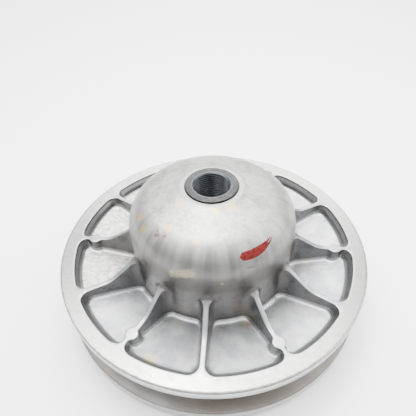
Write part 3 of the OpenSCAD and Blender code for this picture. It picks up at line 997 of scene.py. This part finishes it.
def wall_dirt_and_shade(s, colour):
    """Painted shade round the dome's foot, sideways-facing walls darkened as dirty cast and painted shade,
    dirt and painted shade low down on them, and the dark joint at the hub.
    """
    # Painted shade: darker and browner on the dome's lower wall and in the pockets close round its foot,
    # except on the belt face.
    foot = s.times(s.fall(s.r, DOME_R + 1, DOME_R + 10), s.fall(s.up, 84, 95, 0.66))
    colour = s.mix(s.times(foot, s.minus(1.0, s.belt)), colour, (0.085, 0.07, 0.056))
    # Walls that face sideways are darkened: partly dirty unmachined cast, partly painted shade.
    upright = s.times(s.fall(s.facing(), 0.3, 0.93), s.fall(s.r, SHEAVE_R - 2, SHEAVE_R - 1))
    colour = s.mix(s.times(upright, 0.6), colour, (0.105, 0.103, 0.1))
    # Dirt and painted shade in patches low down on those walls.
    grime_and_shade = s.times(s.step(s.noise(8, 5), 0.5, 0.68, 0, 0.45), s.fall(s.up, 70, 84))
    colour = s.mix(s.times(upright, grime_and_shade), colour, (0.07, 0.06, 0.05))
    joint = s.times(s.fall(s.r, HEAD_R + 0.3, HEAD_R + 0.7), s.near_top)
    return s.mix(joint, colour, (0.04, 0.04, 0.04))


def pocket_marks(s, colour):
    """Floors, fillets lightened as a painted highlight, dark slopes of the outer walls, and oil-brown stains
    in low places.
    """
    colour = s.mix(s.times(s.floor, s.off_face, 0.8), colour, floor_colour(s))
    # Painted highlight: the fillets at the walls' foot are lightened.
    colour = s.mix(s.times(s.fillet, 0.7), colour, (0.5, 0.5, 0.5))
    slope = s.times(s.step(s.r, 117, 120), s.fall(s.r, POCKET_R + 1, POCKET_R + 2))
    slope = s.times(slope, s.step(s.above_floor, 0.9, 1.8), s.fall(s.up, RIM_TOP_Z - 0.9, RIM_TOP_Z - 0.3))
    dark = s.mix(s.step(s.grain, 0.3, 0.7), (0.08, 0.08, 0.078), (0.15, 0.15, 0.147))
    colour = s.mix(s.times(slope, 0.5), colour, dark)
    stain = s.step(s.noise(11, 4), 0.56, 0.74, 0, 0.5)
    colour = s.mix(s.times(s.low, stain), colour, (0.47, 0.38, 0.22))
    # Yellow spills: azimuth, radius, size and strength
    for azimuth, r, size, strength in ((-109.3, 121.0, 5.0, 0.6), (-98.6, 105.5, 2.5, 0.35)):
        gap = s.minus(s.gap(at_azimuth(azimuth, r, 45), size), 6.0)
        spill = s.fall(s.scaled(s.noise(6, 3), 12.0, gap), -1.5, 2.5, strength)
        colour = s.mix(s.times(s.low, spill), colour, (0.5, 0.41, 0.16))
    return colour


def edge_lines(s, colour):
    """Dark lines on both sides of the land's outer edge."""
    below = s.band(s.up, RIM_TOP_Z - 1.9, RIM_TOP_Z - 0.7, 0.2)
    below = s.times(below, s.step(s.r, SHEAVE_R - 0.9, SHEAVE_R - 0.4))
    colour = s.mix(s.times(below, s.step(s.patch, 0.35, 0.55, 0.6, 1)), colour, (0.05, 0.045, 0.04))
    beside = s.band(s.r, SHEAVE_R - 1.5, SHEAVE_R - 0.9, 0.15)
    beside = s.times(beside, s.step(s.up, RIM_TOP_Z - 0.6, RIM_TOP_Z - 0.2))
    return s.mix(s.times(beside, s.step(s.patch, 0.4, 0.55, 0.2, 0.8)), colour, (0.1, 0.095, 0.085))


def casting_material(name, mirrored):
    """Sand-cast aluminium, turned on its belt face and land, and dressed smooth on the dome."""
    s = Casting(name, mirrored)
    colour = edge_lines(s, pocket_marks(s, wall_dirt_and_shade(s, surface_colours(s))))
    roughness = s.scaled(s.patch, 0.18, 0.26)
    roughness = s.scaled(s.dome, s.scaled(s.streaks, 0.06, 0.08), roughness)
    for mask, change in ((s.land, -0.06), (s.floor, 0.1), (s.fillet, -0.1)):
        roughness = s.scaled(mask, change, roughness)
    machined = s.either(s.land, s.belt, s.hub, s.dome)
    shine = s.scaled(s.belt, -0.2, s.scaled(machined, 0.07, 0.91))
    s.bump(s.times(s.minus(1.0, machined), s.scaled(s.pits, 0.7, s.grain)), 0.08)
    s.bump(s.times(s.either(s.land, s.hub), s.rings), 0.02)
    if mirrored:
        return s.finish(colour, roughness, shine)
    dents = s.scaled(s.times(s.outer_dome, s.streaks), 1.6, s.pits)
    s.bump(s.times(s.dome, s.scaled(s.noise(30, 2), 8.0, dents)), 0.05)
    colour, stroke = dome_marks(s, colour)
    return s.finish(colour, s.scaled(stroke, 0.3, roughness), s.scaled(stroke, -0.35, shine))


# ---------------- other materials
def post_material():
    """Blackened steel, dark in the thread, worn grey on the head's face and ground on the stem."""
    s = Surface("blackened_steel", (0.2, 0.2, 0.2), 1.0, 0.35)
    on_top = s.step(s.z, CROWN_TOP_Z - 0.35, CROWN_TOP_Z - 0.1)
    face = s.times(on_top, s.step(s.r, MOUTH_R + 0.05, MOUTH_R + 0.35))
    stem = s.times(s.fall(s.z, SLEEVE_Z - 0.3, SLEEVE_Z), s.step(s.r, SHAFT_R + 2.5, SHAFT_R + 3))
    rings = s.noise(0.5, 2, s.join(s.r, s.times(s.z, 0.3)))
    patch = s.noise(4, 3)
    dark = s.mix(patch, (0.03, 0.033, 0.038), (0.075, 0.08, 0.088))
    worn = s.mix(s.step(rings, 0.3, 0.7), (0.018, 0.019, 0.019), (0.042, 0.043, 0.042))
    worn = s.mix(s.step(patch, 0.5, 0.7, 0, 0.35), worn, (0.085, 0.083, 0.079))
    colour = s.mix(s.either(face, stem), dark, worn)
    edge = s.times(face, s.band(s.r, MOUTH_R + 0.1, MOUTH_R + 0.9, 0.2))
    colour = s.mix(s.times(edge, 0.15), colour, (0.2, 0.2, 0.195))
    colour = s.mix(s.step(s.r, HEAD_R - 0.5, HEAD_R - 0.2), colour, (0.03, 0.03, 0.03))
    s.bump(rings, 0.015)
    s.bump(s.noise(0.6, 3), 0.012)
    return s.finish(colour, s.scaled(patch, 0.18, 0.24))


def metal(name, dark, light, worn, roughness, fine, depth):
    """A plain machined or stamped metal with grain, tarnish and rubbed spots."""
    s = Surface(name, light, 1.0, roughness)
    patch = s.noise(5, 4)
    lines = s.noise(fine, 3)
    colour = s.mix(s.step(patch, 0.3, 0.7), dark, light)
    colour = s.mix(s.step(lines, 0.4, 0.8, 0, 0.25), colour, worn)
    s.bump(lines, depth)
    s.bump(patch, depth)
    return s.finish(colour, s.scaled(patch, 0.2, roughness - 0.1))


def plastic(name, dark, light, roughness):
    """Moulded plastic with fine texture, dust and scuffs."""
    s = Surface(name, light, 0.0, roughness)
    patch = s.noise(3.5, 4)
    grain = s.noise(0.35, 3)
    colour = s.mix(s.step(patch, 0.35, 0.65), dark, light)
    colour = s.mix(s.step(s.noise(1.1, 4), 0.58, 0.75, 0, 0.3), colour, (0.2, 0.19, 0.18))
    s.bump(grain, 0.03)
    return s.finish(colour, s.scaled(patch, 0.25, roughness - 0.12))


# Slot, name, dark, light and worn colours, roughness, size and depth of the grain
METALS = (
    ("anodised_aluminium", "anodised_aluminium",
     (0.3, 0.3, 0.31), (0.46, 0.46, 0.47), (0.7, 0.7, 0.7), 0.42, 0.5, 0.04),
    ("blackened_steel", "blackened_steel_screws",
     (0.05, 0.05, 0.055), (0.12, 0.12, 0.125), (0.4, 0.39, 0.38), 0.38, 0.4, 0.03),
    ("bright_steel", "bright_steel",
     (0.42, 0.42, 0.42), (0.6, 0.6, 0.59), (0.7, 0.69, 0.67), 0.3, 0.35, 0.02),
    ("spring_steel", "spring_steel",
     (0.14, 0.14, 0.15), (0.3, 0.3, 0.31), (0.45, 0.4, 0.35), 0.4, 0.6, 0.03),
    ("bronze", "bronze",
     (0.45, 0.28, 0.13), (0.66, 0.46, 0.24), (0.78, 0.6, 0.36), 0.36, 0.4, 0.03),
)


def paint_all():
    """Gives the four built pieces and the CAD's own pieces their materials."""
    paint(fixed_sheave, casting_material("cast_aluminium_fixed", False))
    paint(movable_sheave, casting_material("cast_aluminium_sliding", True))
    paint(hub_post, post_material())
    finishes = {slot: metal(*values) for slot, *values in METALS}
    finishes["black_plastic"] = plastic("black_plastic", (0.018, 0.018, 0.02), (0.045, 0.045, 0.048), 0.5)
    paint(spring, finishes["spring_steel"])
    for subpart in frame["record"]["subparts"]:
        node = subpart["node"]
        if node not in ("fixed_sheave", "movable_sheave", "post", "spring"):
            paint(frame["nodes"][node], finishes[subpart["material_slot"]])


# ---------------- camera, floor and light
def build_camera():
    """A hand-held camera's view from the front and above, shifted up a little."""
    data = bpy.data.cameras.new("camera")
    data.sensor_width = 36
    data.lens = 32.83
    data.shift_y = 0.0480769
    camera = bpy.data.objects.new("camera", data)
    camera.location = (0.01835, -0.23946, 0.32146)
    camera.rotation_euler = [math.radians(a) for a in (44.342, 1.125, 4.182)]
    bpy.context.scene.collection.objects.link(camera)
    bpy.context.scene.camera = camera


def build_floor():
    """The bench; it goes down with the sliding sheave, which would meet it as the pulley opens."""
    bm = bmesh.new()
    bmesh.ops.create_grid(bm, x_segments=1, y_segments=1, size=3)
    mesh = bpy.data.meshes.new("floor")
    bm.to_mesh(mesh)
    bm.free()
    floor = bpy.data.objects.new("floor", mesh)
    bpy.context.scene.collection.objects.link(floor)
    material = bpy.data.materials.new("floor")
    material.use_nodes = True
    shader = material.node_tree.nodes["Principled BSDF"]
    shader.inputs["Base Color"].default_value = (0.94, 0.94, 0.935, 1)
    shader.inputs["Roughness"].default_value = 0.6
    mesh.materials.append(material)
    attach(floor, "spring_plate")


def area_light(name, place, target, size, power):
    """A rectangular lamp at a place, turned to a target; metres and watts."""
    data = bpy.data.lights.new(name, "AREA")
    data.shape = "RECTANGLE"
    data.size, data.size_y = size
    data.energy = power
    light = bpy.data.objects.new(name, data)
    light.location = place
    direction = Vector(target) - Vector(place)
    light.rotation_euler = direction.to_track_quat("-Z", "Y").to_euler()
    bpy.context.scene.collection.objects.link(light)


def build_world():
    """A dim room, brighter overhead and behind the pulley; the camera sees it evenly bright."""
    world = bpy.data.worlds.new("world")
    world.use_nodes = True
    add = world.node_tree.nodes.new
    link = world.node_tree.links.new
    split = add("ShaderNodeSeparateXYZ")
    link(add("ShaderNodeTexCoord").outputs["Generated"], split.inputs[0])
    lean = add("ShaderNodeMath")
    lean.operation = "MULTIPLY_ADD"
    lean.inputs[1].default_value = 0.2
    link(split.outputs[1], lean.inputs[0])
    link(split.outputs[2], lean.inputs[2])
    level = add("ShaderNodeMapRange")
    level.interpolation_type = "SMOOTHSTEP"
    for name, number in (("From Min", -0.1), ("From Max", 0.75), ("To Min", 0.25), ("To Max", 2.9)):
        level.inputs[name].default_value = number
    link(lean.outputs[0], level.inputs["Value"])
    seen = add("ShaderNodeMix")
    link(add("ShaderNodeLightPath").outputs["Is Camera Ray"], seen.inputs[0])
    link(level.outputs[0], seen.inputs[2])
    seen.inputs[3].default_value = 2.4
    background = world.node_tree.nodes["Background"]
    background.inputs["Color"].default_value = (0.97, 0.98, 1, 1)
    link(seen.outputs[0], background.inputs["Strength"])
    bpy.context.scene.world = world


def build_lamps():
    """Soft lamps overhead, behind and to the right, and a small one for the glint on the dome."""
    area_light("top", (-0.08, 0.2, 1.0), (0, 0.03, 0.05), (1.1, 0.8), 30)
    area_light("glint", (-0.12, 0.12, 0.9), (0, 0, 0.05), (0.22, 0.16), 7)
    area_light("behind", (0, 1.7, 1.1), (0, 1.0, 0), (1.8, 0.9), 45)
    area_light("right", (0.8, 0.05, 0.55), (0, 0, 0.08), (0.7, 0.7), 7)


paint_all()
build_camera()
build_floor()
build_world()
build_lamps()
